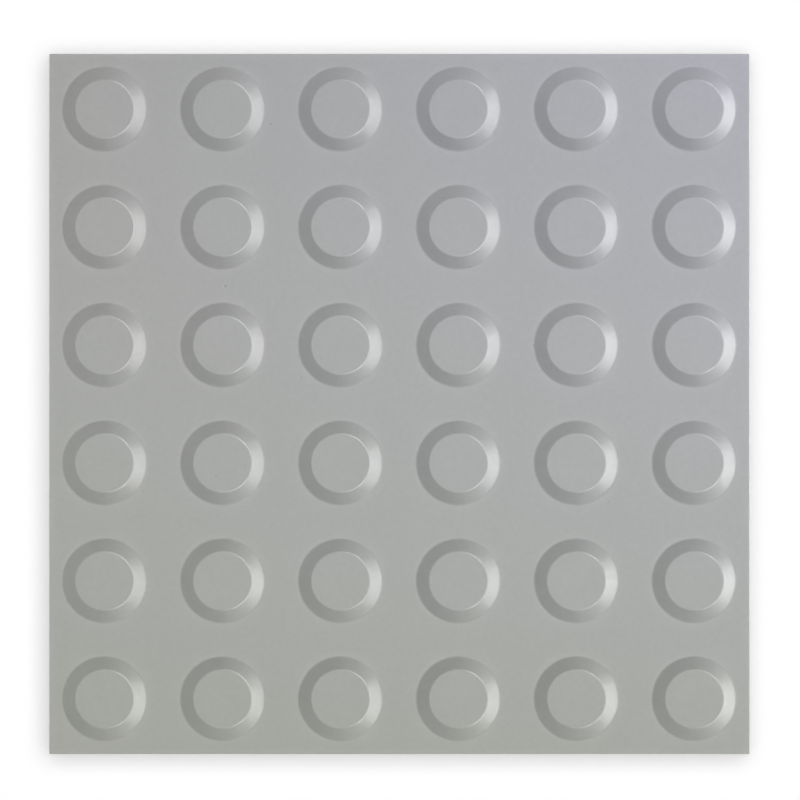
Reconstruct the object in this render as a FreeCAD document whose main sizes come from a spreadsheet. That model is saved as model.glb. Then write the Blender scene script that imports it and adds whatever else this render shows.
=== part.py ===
"""Tactile paving slab: a square concrete slab whose walking face carries a grid of flat-topped studs.

The slab lies flat. Its bedding face is on Z = 0, its centre is on the Z axis, and its sides run along X and Y.
All sizes are in millimetres.
"""

import FreeCAD
import Part
import Sketcher
import math
import os

# Driving sizes. A module is one slab and one joint: when it is a whole number of stud pitches,
# the grid of studs runs on evenly from slab to slab.
SIZES = {
    "module_length": 300,  # along X, from the middle of one joint to the middle of the next
    "module_width": 300,  # along Y, measured the same way
    "joint_width": 3,  # mortar joint between two laid slabs
    "slab_thickness": 40,  # from the bedding face to the walking face
    "arris_bevel": 0.4,  # along the edges of the walking face
    "stud_pitch": 50,  # from axis to axis, along X and along Y
    "stud_base_diameter": 35.5,  # where the stud's slope would meet the walking face
    "stud_top_diameter": 25,  # where the slope would meet the flat top
    "stud_height": 5,  # from the walking face to the flat top
    "stud_foot_bevel": 0.6,  # flat that eases the slope into the walking face, its leg along either of them
    "stud_rim_bevel": 0.3,  # flat that eases the slope into the flat top, measured the same way
}

# Sizes that follow from the driving ones, as expressions on the sheet's cells.
# The rows hold as many whole studs, bevelled feet included, as the slab has room for.
SLAB_LENGTH = "(sizes.module_length - sizes.joint_width)"
SLAB_WIDTH = "(sizes.module_width - sizes.joint_width)"
STUD_FOOT = "(sizes.stud_base_diameter + 2 * sizes.stud_foot_bevel)"
STUDS_ALONG = f"(floor(({SLAB_LENGTH} - {STUD_FOOT}) / sizes.stud_pitch) + 1)"
STUDS_ACROSS = f"(floor(({SLAB_WIDTH} - {STUD_FOOT}) / sizes.stud_pitch) + 1)"
ROW_LENGTH = f"({STUDS_ALONG} - 1) * sizes.stud_pitch"  # from the first stud's axis to the last's
ROW_WIDTH = f"({STUDS_ACROSS} - 1) * sizes.stud_pitch"

SAME_SIZE = 1e-4  # heights and diameters closer than this are the same
SAME_SHARE = 1e-6  # volumes that differ by less than this share are the same


def make_sizes(doc):
    """The sheet of driving sizes: one size in each row, under its own alias."""
    sheet = doc.addObject("Spreadsheet::Sheet", "sizes")
    for row, (name, value) in enumerate(SIZES.items(), start=1):
        sheet.set(f"A{row}", name)
        sheet.set(f"B{row}", str(value))
        sheet.setAlias(f"B{row}", name)
    doc.recompute()
    return sheet


def origin_feature(body, role):
    """The plane or axis of the body's own origin that has this role."""
    return next(feature for feature in body.Origin.OriginFeatures if feature.Role == role)


def draw_outline(body):
    """The slab's plan: a rectangle centred on the origin."""
    sketch = body.newObject("Sketcher::SketchObject", "slab_outline")
    sketch.AttachmentSupport = (origin_feature(body, "XY_Plane"), [""])
    sketch.MapMode = "FlatFace"
    half_length = SIZES["module_length"] / 2
    half_width = SIZES["module_width"] / 2
    corners = [
        FreeCAD.Vector(x * half_length, y * half_width, 0)
        for x, y in ((-1, -1), (1, -1), (1, 1), (-1, 1))
    ]
    for start, end in zip(corners, corners[1:] + corners[:1]):
        sketch.addGeometry(Part.LineSegment(start, end))

    front, right, back, left = range(4)
    first_point, last_point = 1, 2
    origin = (-1, 1)
    for side, following in ((front, right), (right, back), (back, left), (left, front)):
        sketch.addConstraint(Sketcher.Constraint("Coincident", side, last_point, following, first_point))
    for side in (front, back):
        sketch.addConstraint(Sketcher.Constraint("Horizontal", side))
    for side in (right, left):
        sketch.addConstraint(Sketcher.Constraint("Vertical", side))
    sketch.addConstraint(Sketcher.Constraint("Symmetric", front, first_point, right, last_point, *origin))
    length = sketch.addConstraint(
        Sketcher.Constraint("DistanceX", front, first_point, front, last_point, 2 * half_length)
    )
    width = sketch.addConstraint(
        Sketcher.Constraint("DistanceY", right, first_point, right, last_point, 2 * half_width)
    )
    sketch.setExpression(f"Constraints[{length}]", SLAB_LENGTH)
    sketch.setExpression(f"Constraints[{width}]", SLAB_WIDTH)
    return sketch


def add_bevel(doc, body, name, places, leg):
    """A bevel on these edges, or round these faces, of the body so far. Its leg is an alias of the sheet."""
    base = body.Tip
    bevel = body.newObject("PartDesign::Chamfer", name)
    bevel.Base = (base, places)
    bevel.setExpression("Size", f"sizes.{leg}")
    doc.recompute()
    return bevel


def level_faces(shape, height):
    """The names of the shape's level faces at this height."""
    return [
        f"Face{number}"
        for number, face in enumerate(shape.Faces, start=1)
        if math.isclose(face.BoundBox.ZMin, height, abs_tol=SAME_SIZE)
        and math.isclose(face.BoundBox.ZMax, height, abs_tol=SAME_SIZE)
    ]


def circles(shape, height, diameter):
    """The names of the shape's circular edges of this diameter at this height."""
    return [
        f"Edge{number}"
        for number, edge in enumerate(shape.Edges, start=1)
        if isinstance(edge.Curve, Part.Circle)
        and math.isclose(edge.Curve.Center.z, height, abs_tol=SAME_SIZE)
        and math.isclose(2 * edge.Curve.Radius, diameter, abs_tol=SAME_SIZE)
    ]


def add_slab(doc, body, sheet):
    """The plain slab, padded up from its plan, with a small bevel round its walking face."""
    pad = body.newObject("PartDesign::Pad", "slab")
    pad.Profile = draw_outline(body)
    pad.setExpression("Length", "sizes.slab_thickness")
    doc.recompute()
    return add_bevel(doc, body, "arris", level_faces(pad.Shape, sheet.slab_thickness), "arris_bevel")


def add_stud_grid(doc, body):
    """One sharp-edged stud in the corner nearest -X and -Y, repeated in rows along X and Y."""
    stud = body.newObject("PartDesign::AdditiveCone", "stud")
    stud.AttachmentSupport = (origin_feature(body, "XY_Plane"), [""])
    stud.MapMode = "FlatFace"
    stud.setExpression("AttachmentOffset.Base.x", f"-{ROW_LENGTH} / 2")
    stud.setExpression("AttachmentOffset.Base.y", f"-{ROW_WIDTH} / 2")
    stud.setExpression("AttachmentOffset.Base.z", "sizes.slab_thickness")
    stud.setExpression("Radius1", "sizes.stud_base_diameter / 2")
    stud.setExpression("Radius2", "sizes.stud_top_diameter / 2")
    stud.setExpression("Height", "sizes.stud_height")
    doc.recompute()

    grid = body.newObject("PartDesign::LinearPattern", "stud_grid")
    grid.Originals = [stud]
    grid.Direction = (origin_feature(body, "X_Axis"), [""])
    grid.setExpression("Length", ROW_LENGTH)
    grid.setExpression("Occurrences", STUDS_ALONG)
    grid.Direction2 = (origin_feature(body, "Y_Axis"), [""])
    grid.setExpression("Length2", ROW_WIDTH)
    grid.setExpression("Occurrences2", STUDS_ACROSS)
    body.Tip = grid
    doc.recompute()
    return grid


def ease_studs(doc, body, sheet):
    """Eases the foot of every stud into the walking face, and its slope into its flat top."""
    walking_face = sheet.slab_thickness
    stud_top = walking_face + sheet.stud_height
    feet = circles(body.Tip.Shape, walking_face, sheet.stud_base_diameter)
    add_bevel(doc, body, "stud_foot", feet, "stud_foot_bevel")
    rims = circles(body.Tip.Shape, stud_top, sheet.stud_top_diameter)
    add_bevel(doc, body, "stud_rim", rims, "stud_rim_bevel")


def check_grid(sheet, slab, grid):
    """Stops if the grid didn't add every one of its studs to the slab."""
    base, top = sheet.stud_base_diameter / 2, sheet.stud_top_diameter / 2
    stud_volume = math.pi * sheet.stud_height * (base**2 + base * top + top**2) / 3
    expected = slab.Shape.Volume + grid.Occurrences * grid.Occurrences2 * stud_volume
    if not math.isclose(grid.Shape.Volume, expected, rel_tol=SAME_SHARE):
        raise RuntimeError(f"the stud grid has a volume of {grid.Shape.Volume:.0f} and not {expected:.0f} mm3")


def check_document(doc, body):
    """Stops if a feature failed, or if the slab isn't one sound solid."""
    failed = [item.Name for item in doc.Objects if {"Invalid", "Error"} & set(item.State)]
    if failed:
        raise RuntimeError(f"these features failed: {failed}")
    if body.Shape.isNull() or not body.Shape.isValid() or len(body.Shape.Solids) != 1:
        raise RuntimeError(f"{body.Label} isn't one valid solid")


def main():
    doc = FreeCAD.newDocument("tactile_paving_slab")
    sheet = make_sizes(doc)
    body = doc.addObject("PartDesign::Body", "paving_slab")
    body.Label = "paving_slab"
    slab = add_slab(doc, body, sheet)
    grid = add_stud_grid(doc, body)
    ease_studs(doc, body, sheet)

    check_document(doc, body)
    check_grid(sheet, slab, grid)
    os.makedirs("parts", exist_ok=True)
    body.Shape.exportStep(f"parts/{body.Label}.step")
    print(f"{body.Label}: {body.Shape.Volume / 1e6:.4f} litres, {len(body.Shape.Faces)} faces")


main()
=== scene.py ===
import math
from typing import NamedTuple

import bmesh
import bpy
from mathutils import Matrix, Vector


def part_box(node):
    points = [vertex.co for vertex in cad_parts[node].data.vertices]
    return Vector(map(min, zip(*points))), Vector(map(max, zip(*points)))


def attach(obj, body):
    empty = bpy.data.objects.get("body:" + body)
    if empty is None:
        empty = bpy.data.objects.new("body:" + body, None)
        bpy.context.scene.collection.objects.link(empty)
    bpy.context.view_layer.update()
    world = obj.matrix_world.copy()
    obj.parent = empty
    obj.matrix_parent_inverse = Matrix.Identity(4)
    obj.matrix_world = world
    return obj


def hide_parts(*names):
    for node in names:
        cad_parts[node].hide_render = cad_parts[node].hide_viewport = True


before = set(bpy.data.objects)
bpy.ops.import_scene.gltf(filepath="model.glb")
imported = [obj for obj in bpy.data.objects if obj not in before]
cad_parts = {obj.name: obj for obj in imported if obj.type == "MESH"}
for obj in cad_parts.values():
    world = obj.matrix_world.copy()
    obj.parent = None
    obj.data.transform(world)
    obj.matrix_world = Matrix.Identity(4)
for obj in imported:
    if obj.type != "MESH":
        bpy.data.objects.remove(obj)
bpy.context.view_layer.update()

# A tactile paving slab of smooth grey concrete on a white floor, seen from straight above.
# All lengths are in metres.

SLAB_LOW, SLAB_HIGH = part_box("paving_slab")


class Lamp(NamedTuple):
    """A kind of soft lamp, far off, that looks like a disc. Its angles are in degrees."""
    share: float  # with a share of 1, a white surface that faces the lamp is just white
    half_angle: float
    elevation: float
    azimuths: tuple  # one for each lamp of this kind, where 0 is +X and 90 is +Y
    diffuse: bool = True
    glossy: bool = True
    shadow: bool = True


class Spots(NamedTuple):
    """Soft noise: the size of its spots, and how many layers of finer spots are added to them."""
    size: float
    detail: int


class Pits(NamedTuple):
    """A kind of pore: the spacing of its places, its largest radius, and the share of places with one."""
    spacing: float
    largest_radius: float
    share: float


# Studs and edges of the slab.
STUDS_IN_ROW = 6
STUD_PITCH = 0.050
STUD_BASE_RADIUS = 0.01775  # where the slope would meet the walking face
STUD_TOP_RADIUS = 0.0125  # where the slope would meet the flat top
STUD_HEIGHT = 0.005
FOOT_ROUND = 0.0015  # radius of the hollow round between the walking face and the slope
RIM_FLAT = 0.0004  # width of the narrow flat between the slope and the flat top
RIM_ROUND = 0.0002  # radius of the rounds on both sides of that flat
EDGE_ROUND = 0.0002  # radius of the round on every edge and corner of the slab
WALKING_FACE = SLAB_HIGH[2] - STUD_HEIGHT

# Fineness of the mesh.
CELL_STEPS = 18  # along each side of the square round a stud
TOP_SHARES = (0.4, 0.8)  # rings on the flat top, as shares of its radius
RIM_STEPS = 2  # in each of the two rounds
SLOPE_STEPS = 4
FOOT_STEPS = 6
CELL_RINGS = 4  # from the foot of a stud to the side of its square
EDGE_STEPS = 3
CORNER_STEPS = 3
SIDE_ROWS = 16  # from the upper edge down to the lower one
SAME_PLACE = 1e-6  # points nearer than this are one point
LARGE_FACE_WEIGHT = 100  # the most there is: the largest face at a point sets the normal there

# Camera: straight above the slab, far off, so that the slab's sides don't show.
CAMERA_LENS = 600  # millimetres
CAMERA_SENSOR = 36  # millimetres
FRAME_WIDTH = 0.3393  # what the picture spans at the walking face
FRAME_CENTRE = (0.00019, 0.00170)  # the point of the walking face in the middle of the picture

# Lamps. The softboxes show in the studs' slopes and rims.
# Those for the slopes stand below the horizon, where the flat faces can't mirror them.
LAMPS = {
    "overhead": Lamp(share=0.600, half_angle=13.5, elevation=87, azimuths=(42,), glossy=False),
    "under": Lamp(share=0.5, half_angle=30, elevation=-75, azimuths=(-30,)),
    "left_fill": Lamp(
        share=0.016, half_angle=25, elevation=30, azimuths=(190,),
        glossy=False, shadow=False,
    ),
    "right_fill": Lamp(
        share=0.415, half_angle=20, elevation=12.3, azimuths=(-8,),
        glossy=False, shadow=False,
    ),
    "slope_softbox": Lamp(
        share=1.29, half_angle=20, elevation=-23, azimuths=(-26.5, -5.5, 15.5),
        diffuse=False, shadow=False,
    ),
    "rim_softbox": Lamp(
        share=0.67, half_angle=14.5, elevation=51, azimuths=(-51, 0.5, 51.5),
        diffuse=False, shadow=False,
    ),
}
DOME_LEVEL = 0.167  # even light from all round

# Floor.
FLOOR_SIZE = 40
FLOOR_ALBEDO = 0.95
FLOOR_GLOW = 0.178  # what the eye sees on top of the light that falls on it

# Colour of the walking face in its middle, and how painted light and shade make it drift from there to the
# edges of the slab: lighter and cooler towards +X and +Y, darker towards the two ends along Y.
FACE_COLOUR = (0.390, 0.399, 0.396)
PAINTED_LIGHT_EAST = (0.019, 0.021, 0.036)  # per half length towards +X
PAINTED_LIGHT_NORTH = (0.011, 0.007, 0.033)  # per half length towards +Y
PAINTED_LIGHT_CORNER = (0.010, 0.010, 0.022)  # towards the corners where X and Y have the same sign
PAINTED_SHADE_ENDS = (-0.021, -0.024, -0.027)  # towards the two ends of the slab along Y

# Roughness.
FACE_ROUGHNESS = 0.33  # of the walking face
SIDE_ROUGHNESS = 0.95  # of the sides and the underside
FOOT_ROUGHNESS = 1.0  # in the hollow round at a stud's foot
FACE_FADE = 0.0015  # how far down the sides the look of the walking face has faded out
FOOT_BAND = (0.00003, 0.00024)  # heights over the walking face between which a stud's foot is rough
FOOT_FADE = 0.00002  # how far outside that band the roughness fades out

# Patterns of the concrete.
BROAD = Spots(size=0.040, detail=4)
MOTTLE = Spots(size=0.0022, detail=3)
GRAIN = Spots(size=0.0007, detail=2)
BLOTCHES = Spots(size=0.022, detail=3)
STREAKS = Spots(size=0.0030, detail=3)
STREAK_STRETCH = 20  # how much longer the streaks are up and down the sides than along them
SAND_SIZE = 0.0009
FACE_PORES = (Pits(spacing=0.012, largest_radius=0.0009, share=0.3),)
SIDE_PORES = (
    Pits(spacing=0.003, largest_radius=0.0006, share=0.5),
    Pits(spacing=0.006, largest_radius=0.0016, share=0.6),
    Pits(spacing=0.018, largest_radius=0.0028, share=0.5),
)
PORE_FLAT = 0.5  # share of a pore's radius that is at its full depth
PORE_WAVES = Spots(size=0.0012, detail=1)  # these make the outlines of the pores uneven
PORE_WAVE_REACH = 0.0007

# How far each pattern makes the concrete lighter, rougher, or higher in metres.
LIGHTER_BY = {
    "broad": 0.014,
    "mottle": 0.06,
    "grain": 0.04,
    "blotches": 0.07,
    "sand": 0.05,
    "streaks": 0.07,
    # the pores' darkening is painted shade in the pits
    "face_pores": -0.20,
    "side_pores": -0.45,
}
ROUGHER_BY = {
    "sides": SIDE_ROUGHNESS - FACE_ROUGHNESS,
    "feet": FOOT_ROUGHNESS - FACE_ROUGHNESS,
    "mottle": 0.03,
    "broad": 0.02,
}
HIGHER_BY = {
    "grain": 3e-6,
    "mottle": 8e-6,
    "streaks": 3e-5,
    "face_pores": -1e-4,
    "side_pores": -5e-4,
}


def spaced(start, end, steps):
    """Evenly spaced numbers from start to end, both included."""
    return [start + (end - start) * step / steps for step in range(steps + 1)]


def between(first, last, steps):
    """The points inside the line from first to last, without its ends."""
    return [first.lerp(last, step / steps) for step in range(1, steps)]


def bend(start, first_turn, last_turn, radius, steps):
    """The points of an arc that goes on from start, while the way down turns from one angle to another."""
    side = math.copysign(radius, last_turn - first_turn)
    return [
        start + side * Vector((
            math.sin(turn) - math.sin(first_turn),
            math.cos(turn) - math.cos(first_turn),
        ))
        for turn in spaced(first_turn, last_turn, steps)[1:]
    ]


def radius_on_slope(height):
    """The radius of a stud's slope at this height over the walking face."""
    return STUD_BASE_RADIUS + (STUD_TOP_RADIUS - STUD_BASE_RADIUS) * height / STUD_HEIGHT


def stud_profile():
    """Radius and height of the rings of a stud, from its flat top down and out to the walking face."""
    slope = math.atan2(STUD_HEIGHT, STUD_BASE_RADIUS - STUD_TOP_RADIUS)

    rim = [Vector((0, STUD_HEIGHT))]
    rim += bend(rim[-1], 0, slope / 2, RIM_ROUND, RIM_STEPS)
    rim.append(rim[-1] + RIM_FLAT * Vector((math.cos(slope / 2), -math.sin(slope / 2))))
    rim += bend(rim[-1], slope / 2, slope, RIM_ROUND, RIM_STEPS)
    to_slope = Vector((radius_on_slope(rim[-1].y) - rim[-1].x, 0))
    rim = [point + to_slope for point in rim]

    foot_height = FOOT_ROUND * (1 - math.cos(slope))
    foot = [Vector((radius_on_slope(foot_height), foot_height))]
    foot += bend(foot[-1], slope, 0, FOOT_ROUND, FOOT_STEPS)

    top = [Vector((rim[0].x * share, STUD_HEIGHT)) for share in TOP_SHARES]
    return top + rim + between(rim[-1], foot[0], SLOPE_STEPS) + foot


def edge_profile():
    """How far out and how high the slab's edge lies, from the walking face down to the underside."""
    bottom = SLAB_LOW[2]
    quarter = math.pi / 2
    upper = [
        Vector((EDGE_ROUND * math.sin(turn), WALKING_FACE - EDGE_ROUND * (1 - math.cos(turn))))
        for turn in spaced(0, quarter, EDGE_STEPS)
    ]
    lower = [
        Vector((EDGE_ROUND * math.sin(turn), bottom + EDGE_ROUND * (1 - math.cos(turn))))
        for turn in spaced(quarter, 0, EDGE_STEPS)
    ]
    return upper + between(upper[-1], lower[0], SIDE_ROWS) + lower


def stud_axes():
    """Where the studs' axes lie along X, and along Y."""
    first = -(STUDS_IN_ROW - 1) / 2 * STUD_PITCH
    return [first + number * STUD_PITCH for number in range(STUDS_IN_ROW)]


def cell_lines(low, high):
    """Where the lines of the mesh cross the slab: each stud's square is parted into equal steps."""
    axes = stud_axes()
    sides = [low + EDGE_ROUND]
    sides += [axis + STUD_PITCH / 2 for axis in axes[:-1]]
    sides.append(high - EDGE_ROUND)
    lines = [sides[0]]
    for start, end in zip(sides[:-1], sides[1:]):
        lines += spaced(start, end, CELL_STEPS)[1:]
    return lines


def add_ring(bm, points):
    """New vertices at these points."""
    return [bm.verts.new(point) for point in points]


def join_rings(bm, inner, outer):
    """A closed band of faces between two rings that have as many vertices."""
    count = len(inner)
    for here in range(count):
        after = (here + 1) % count
        bm.faces.new((inner[here], outer[here], outer[after], inner[after]))


def border_of_cell(x_lines, y_lines):
    """The points round a stud's square, anticlockwise from its corner at +X and -Y."""
    right = [(x_lines[-1], y) for y in y_lines[:-1]]
    back = [(x, y_lines[-1]) for x in reversed(x_lines[1:])]
    left = [(x_lines[0], y) for y in reversed(y_lines[1:])]
    front = [(x, y_lines[0]) for x in x_lines[:-1]]
    return [Vector((x, y, WALKING_FACE)) for x, y in right + back + left + front]


def circle(centre, radius, height, turns):
    """The points at these turns of a circle round an upright axis."""
    return [
        Vector((centre.x + radius * math.cos(turn), centre.y + radius * math.sin(turn), height))
        for turn in turns
    ]


def add_stud(bm, profile, centre, x_lines, y_lines):
    """One stud with the square of the walking face round it."""
    border = border_of_cell(x_lines, y_lines)
    first_turn = -math.tau / 8  # towards the corner where the border begins
    turns = [first_turn + math.tau * number / len(border) for number in range(len(border))]
    rings = [circle(centre, radius, WALKING_FACE + height, turns) for radius, height in profile]
    foot = rings[-1]
    for step in range(1, CELL_RINGS + 1):
        rings.append([inner.lerp(outer, step / CELL_RINGS) for inner, outer in zip(foot, border)])

    made = [add_ring(bm, ring) for ring in rings]
    middle = bm.verts.new((centre.x, centre.y, WALKING_FACE + STUD_HEIGHT))
    for here, after in zip(made[0], made[0][1:] + made[0][:1]):
        bm.faces.new((middle, here, after))
    for inner, outer in zip(made[:-1], made[1:]):
        join_rings(bm, inner, outer)


def outline(x_lines, y_lines):
    """The slab's outline inside its rounded edges, anticlockwise: each point, and the way it faces."""
    sides = (
        [(x_lines[-1], y) for y in y_lines],
        [(x, y_lines[-1]) for x in reversed(x_lines)],
        [(x_lines[0], y) for y in reversed(y_lines)],
        [(x, y_lines[0]) for x in x_lines],
    )
    path = []
    quarter = math.pi / 2
    for number, side in enumerate(sides):
        facing = number * quarter
        path += [(point, facing) for point in side]
        path += [(side[-1], facing + turn) for turn in spaced(0, quarter, CORNER_STEPS)[1:-1]]
    return path


def moved_out(path, out, height):
    """The points that lie this far out from an outline, at this height."""
    return [
        (x + out * math.cos(facing), y + out * math.sin(facing), height)
        for (x, y), facing in path
    ]


def add_sides(bm, x_lines, y_lines):
    """The slab's four sides, with the rounds above, below and between them."""
    path = outline(x_lines, y_lines)
    rings = [add_ring(bm, moved_out(path, out, height)) for out, height in edge_profile()]
    for upper, lower in zip(rings[:-1], rings[1:]):
        join_rings(bm, upper, lower)


def add_underside(bm, x_lines, y_lines):
    """The flat bedding face."""
    rows = [add_ring(bm, [(x, y, SLAB_LOW[2]) for x in x_lines]) for y in y_lines]
    for row, above in zip(rows[:-1], rows[1:]):
        for step in range(len(row) - 1):
            bm.faces.new((row[step], above[step], above[step + 1], row[step + 1]))


def make_slab():
    """The whole slab as one closed mesh."""
    x_lines = cell_lines(SLAB_LOW[0], SLAB_HIGH[0])
    y_lines = cell_lines(SLAB_LOW[1], SLAB_HIGH[1])
    profile = stud_profile()
    bm = bmesh.new()
    for row, y in enumerate(stud_axes()):
        for column, x in enumerate(stud_axes()):
            x_cell = x_lines[column * CELL_STEPS:(column + 1) * CELL_STEPS + 1]
            y_cell = y_lines[row * CELL_STEPS:(row + 1) * CELL_STEPS + 1]
            add_stud(bm, profile, Vector((x, y)), x_cell, y_cell)
    add_sides(bm, x_lines, y_lines)
    add_underside(bm, x_lines, y_lines)
    bmesh.ops.remove_doubles(bm, verts=bm.verts, dist=SAME_PLACE)

    mesh = bpy.data.meshes.new("cast_slab")
    bm.to_mesh(mesh)
    bm.free()
    mesh.shade_smooth()
    slab = bpy.data.objects.new("cast_slab", mesh)
    bpy.context.collection.objects.link(slab)
    flats = slab.modifiers.new("flat faces stay flat", "WEIGHTED_NORMAL")
    flats.weight = LARGE_FACE_WEIGHT
    return slab


def add_node(tree, kind, inputs=None, **settings):
    """A new node. Each input is set to a value, or linked where the value is another node's socket."""
    made = tree.nodes.new(kind)
    for name, value in settings.items():
        setattr(made, name, value)
    for name, value in (inputs or {}).items():
        if isinstance(value, bpy.types.NodeSocket):
            tree.links.new(value, made.inputs[name])
        else:
            made.inputs[name].default_value = value
    return made


def new_tree(owner):
    """The empty node tree of a material or world."""
    owner.use_nodes = True
    owner.node_tree.nodes.clear()
    return owner.node_tree


def maths(tree, operation, *values):
    """The result of a sum on numbers or sockets."""
    made = add_node(tree, "ShaderNodeMath", dict(enumerate(values)), operation=operation)
    return made.outputs[0]


def vector_maths(tree, operation, *values):
    """The result of a sum on vectors or sockets."""
    made = add_node(tree, "ShaderNodeVectorMath", dict(enumerate(values)), operation=operation)
    return made.outputs[0]


def remap(tree, value, low, high, start, end):
    """A value that goes smoothly from start to end as the given one goes from low to high."""
    inputs = {"Value": value, "From Min": low, "From Max": high, "To Min": start, "To Max": end}
    return add_node(tree, "ShaderNodeMapRange", inputs, interpolation_type="SMOOTHSTEP").outputs[0]


def band(tree, value, low, high, soft):
    """1 where the value is between low and high, and 0 from a soft width outside them."""
    above = remap(tree, value, low - soft, low, 0, 1)
    below = remap(tree, value, high, high + soft, 1, 0)
    return maths(tree, "MULTIPLY", above, below)


def signed(tree, value):
    """A value from 0 to 1, spread out from -1 to 1."""
    return maths(tree, "MULTIPLY_ADD", value, 2, -1)


def add_up(tree, start, patterns, weights):
    """The start value plus each weight times the pattern of its name."""
    result = start
    for name, weight in weights.items():
        result = maths(tree, "MULTIPLY_ADD", patterns[name], weight, result)
    return result


def noise(tree, place, spots):
    """A node with soft noise from 0 to 1."""
    inputs = {"Vector": place, "Scale": 1 / spots.size, "Detail": spots.detail}
    return add_node(tree, "ShaderNodeTexNoise", inputs)


def clouds(tree, place, spots):
    """Soft noise from about -1 to 1."""
    return signed(tree, noise(tree, place, spots).outputs[0])


def cells(tree, place, spacing):
    """The distance to the nearest of many scattered points, and two random numbers of that point."""
    scattered = add_node(tree, "ShaderNodeTexVoronoi", {"Vector": place, "Scale": 1 / spacing})
    # A point's own colour tells where it lies, so it is shuffled.
    shuffled = add_node(tree, "ShaderNodeTexWhiteNoise", {"Vector": scattered.outputs["Color"]})
    chance = add_node(tree, "ShaderNodeSeparateColor", {"Color": shuffled.outputs["Color"]})
    return scattered.outputs["Distance"], chance.outputs[0], chance.outputs[1]


def sand(tree, place, size):
    """Grains of this size, each of its own shade from -1 to 1."""
    _, shade, _ = cells(tree, place, size)
    return signed(tree, shade)


def ragged(tree, place):
    """A place that sways a little, so that what is drawn there isn't round."""
    waves = noise(tree, place, PORE_WAVES)
    mean = (0.5, 0.5, 0.5)
    reach = (PORE_WAVE_REACH, PORE_WAVE_REACH, PORE_WAVE_REACH)
    sway = vector_maths(tree, "SUBTRACT", waves.outputs["Color"], mean)
    return vector_maths(tree, "MULTIPLY_ADD", sway, reach, place)


def pores(tree, place, kinds):
    """Small pits: 1 in the middle of a pit and 0 off it."""
    deepest = 0
    for kind in kinds:
        distance, size, chance = cells(tree, place, kind.spacing)
        reach = maths(tree, "MULTIPLY", size, kind.largest_radius / kind.spacing)
        flat = maths(tree, "MULTIPLY", reach, PORE_FLAT)
        pit = remap(tree, distance, flat, reach, 1, 0)
        chosen = maths(tree, "LESS_THAN", chance, kind.share)
        deepest = maths(tree, "MAXIMUM", maths(tree, "MULTIPLY", pit, chosen), deepest)
    return deepest


def colour_with_painted_light(tree, place, face):
    """The concrete's grey with painted light on the walking face, lighter and cooler towards +X and +Y,
    and painted shade towards its two ends along Y.
    """
    halves = (1 / SLAB_HIGH[0], 1 / SLAB_HIGH[1], 0)
    shares = add_node(tree, "ShaderNodeSeparateXYZ", {0: vector_maths(tree, "MULTIPLY", place, halves)})
    east, north = (maths(tree, "MULTIPLY", face, shares.outputs[axis]) for axis in (0, 1))
    terms = (
        (east, PAINTED_LIGHT_EAST),
        (north, PAINTED_LIGHT_NORTH),
        (maths(tree, "MULTIPLY", east, north), PAINTED_LIGHT_CORNER),
        (maths(tree, "MULTIPLY", north, north), PAINTED_SHADE_ENDS),
    )
    colour = FACE_COLOUR
    for share, drift in terms:
        colour = vector_maths(tree, "MULTIPLY_ADD", share, drift, colour)
    return colour


def concrete_patterns(tree, place, height, face):
    """The patterns of the concrete, by name. Those of the sides are on the underside too."""
    sides = maths(tree, "SUBTRACT", 1, face)
    low, high = (WALKING_FACE + level for level in FOOT_BAND)
    patterns = {
        "sides": sides,
        "feet": band(tree, height, low, high, FOOT_FADE),
        "broad": clouds(tree, place, BROAD),
        "mottle": clouds(tree, place, MOTTLE),
        "grain": clouds(tree, place, GRAIN),
        "face_pores": maths(tree, "MULTIPLY", face, pores(tree, place, FACE_PORES)),
    }
    drawn = vector_maths(tree, "MULTIPLY", place, (1, 1, 1 / STREAK_STRETCH))
    on_sides = {
        "blotches": clouds(tree, place, BLOTCHES),
        "sand": sand(tree, place, SAND_SIZE),
        "streaks": clouds(tree, drawn, STREAKS),
        "side_pores": pores(tree, ragged(tree, place), SIDE_PORES),
    }
    for name, pattern in on_sides.items():
        patterns[name] = maths(tree, "MULTIPLY", sides, pattern)
    return patterns


def make_concrete():
    """Smooth grey concrete: fine and satin on the walking face, rougher and more open on the sides."""
    material = bpy.data.materials.new("concrete")
    tree = new_tree(material)
    place = add_node(tree, "ShaderNodeTexCoord").outputs["Object"]
    height = add_node(tree, "ShaderNodeSeparateXYZ", {0: place}).outputs[2]
    face = remap(tree, height, WALKING_FACE - FACE_FADE, WALKING_FACE - EDGE_ROUND, 0, 1)
    patterns = concrete_patterns(tree, place, height, face)

    light = add_up(tree, 1, patterns, LIGHTER_BY)
    # the grey carries painted light and shade on the walking face
    colour = vector_maths(tree, "MULTIPLY", colour_with_painted_light(tree, place, face), light)
    roughness = add_up(tree, FACE_ROUGHNESS, patterns, ROUGHER_BY)
    relief = add_up(tree, 0, patterns, HIGHER_BY)
    bump = add_node(tree, "ShaderNodeBump", {"Height": relief, "Distance": 1})
    shader = add_node(
        tree,
        "ShaderNodeBsdfPrincipled",
        {"Base Color": colour, "Roughness": roughness, "Normal": bump.outputs[0]},
    )
    add_node(tree, "ShaderNodeOutputMaterial", {"Surface": shader.outputs[0]})
    return material


def seen_directly(tree):
    """1 for rays from the camera, a mirror or glass, and 0 for light that falls on a matt surface."""
    path = add_node(tree, "ShaderNodeLightPath")
    mirrored = maths(tree, "MAXIMUM", path.outputs["Is Camera Ray"], path.outputs["Is Glossy Ray"])
    return maths(tree, "MAXIMUM", mirrored, path.outputs["Is Transmission Ray"])


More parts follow.
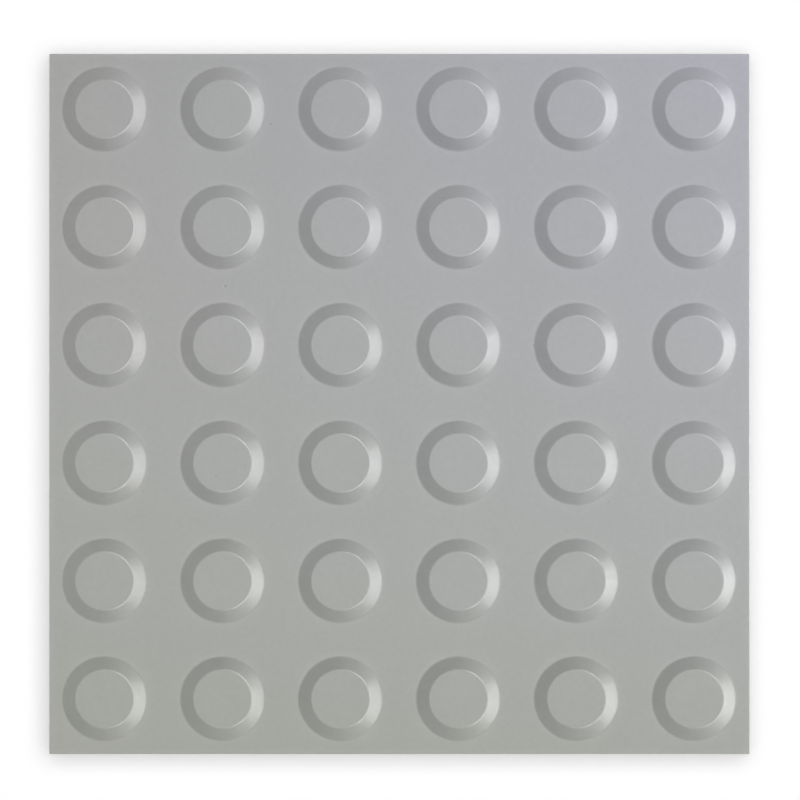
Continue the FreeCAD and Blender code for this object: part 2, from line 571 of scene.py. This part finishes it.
def make_white():
    """The floor's matt white, which glows a little to the eye and in reflections."""
    material = bpy.data.materials.new("white_floor")
    tree = new_tree(material)
    white = (FLOOR_ALBEDO, FLOOR_ALBEDO, FLOOR_ALBEDO, 1)
    matt = add_node(tree, "ShaderNodeBsdfDiffuse", {"Color": white})
    level = add_node(tree, "ShaderNodeMapRange", {"Value": seen_directly(tree), "To Max": FLOOR_GLOW})
    glow = add_node(tree, "ShaderNodeEmission", {"Strength": level.outputs[0]})
    both = add_node(tree, "ShaderNodeAddShader", {0: matt.outputs[0], 1: glow.outputs[0]})
    add_node(tree, "ShaderNodeOutputMaterial", {"Surface": both.outputs[0]})
    return material


def add_floor():
    """A floor that keeps the slab's shadow. Through a window under the slab, its bedding face shows."""
    outer = (FLOOR_SIZE / 2, FLOOR_SIZE / 2)
    window = (SLAB_HIGH[0] - EDGE_ROUND, SLAB_HIGH[1] - EDGE_ROUND)
    signs = ((-1, -1), (1, -1), (1, 1), (-1, 1))
    corners = [
        (x_sign * half_length, y_sign * half_width, SLAB_LOW[2])
        for half_length, half_width in (outer, window)
        for x_sign, y_sign in signs
    ]
    count = len(signs)
    faces = []
    for here in range(count):
        after = (here + 1) % count
        faces.append((here, after, after + count, here + count))
    mesh = bpy.data.meshes.new("floor")
    mesh.from_pydata(corners, [], faces)
    mesh.materials.append(make_white())
    floor = bpy.data.objects.new("floor", mesh)
    bpy.context.collection.objects.link(floor)


def light_world():
    """White all round to the eye and in reflections, and a weak even light on every surface."""
    world = bpy.data.worlds.new("white_room")
    tree = new_tree(world)
    inputs = {"Value": seen_directly(tree), "To Min": DOME_LEVEL, "To Max": 1}
    level = add_node(tree, "ShaderNodeMapRange", inputs)
    inputs = {"Color": (1, 1, 1, 1), "Strength": level.outputs[0]}
    white = add_node(tree, "ShaderNodeBackground", inputs)
    add_node(tree, "ShaderNodeOutputWorld", {"Surface": white.outputs[0]})
    bpy.context.scene.world = world


def add_lamp(name, lamp, azimuth):
    """One lamp of this kind."""
    light = bpy.data.lights.new(name, "SUN")
    light.energy = math.pi * lamp.share
    light.angle = math.radians(2 * lamp.half_angle)
    light.use_shadow = lamp.shadow
    light.cycles.use_multiple_importance_sampling = lamp.shadow
    holder = bpy.data.objects.new(name, light)
    holder.rotation_euler = (0, math.radians(90 - lamp.elevation), math.radians(azimuth))
    holder.visible_diffuse = lamp.diffuse
    holder.visible_glossy = lamp.glossy
    bpy.context.collection.objects.link(holder)


def add_lamps():
    """Light from above and below, fill from both sides, and the softboxes on the right."""
    for name, lamp in LAMPS.items():
        for azimuth in lamp.azimuths:
            add_lamp(name, lamp, azimuth)


def add_camera():
    """The camera, straight above."""
    camera = bpy.data.cameras.new("camera")
    camera.lens = CAMERA_LENS
    camera.sensor_width = CAMERA_SENSOR
    distance = FRAME_WIDTH * CAMERA_LENS / CAMERA_SENSOR
    camera.clip_end = 2 * distance
    holder = bpy.data.objects.new("camera", camera)
    holder.location = (*FRAME_CENTRE, WALKING_FACE + distance)
    bpy.context.collection.objects.link(holder)
    bpy.context.scene.camera = holder


slab = make_slab()
slab.data.materials.append(make_concrete())
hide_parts("paving_slab")
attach(slab, "root")
slab.visible_diffuse = False  # its sides and slopes throw no light on the floor and the walking face

add_floor()
light_world()
add_lamps()
add_camera()
bpy.context.scene.view_settings.view_transform = "Standard"
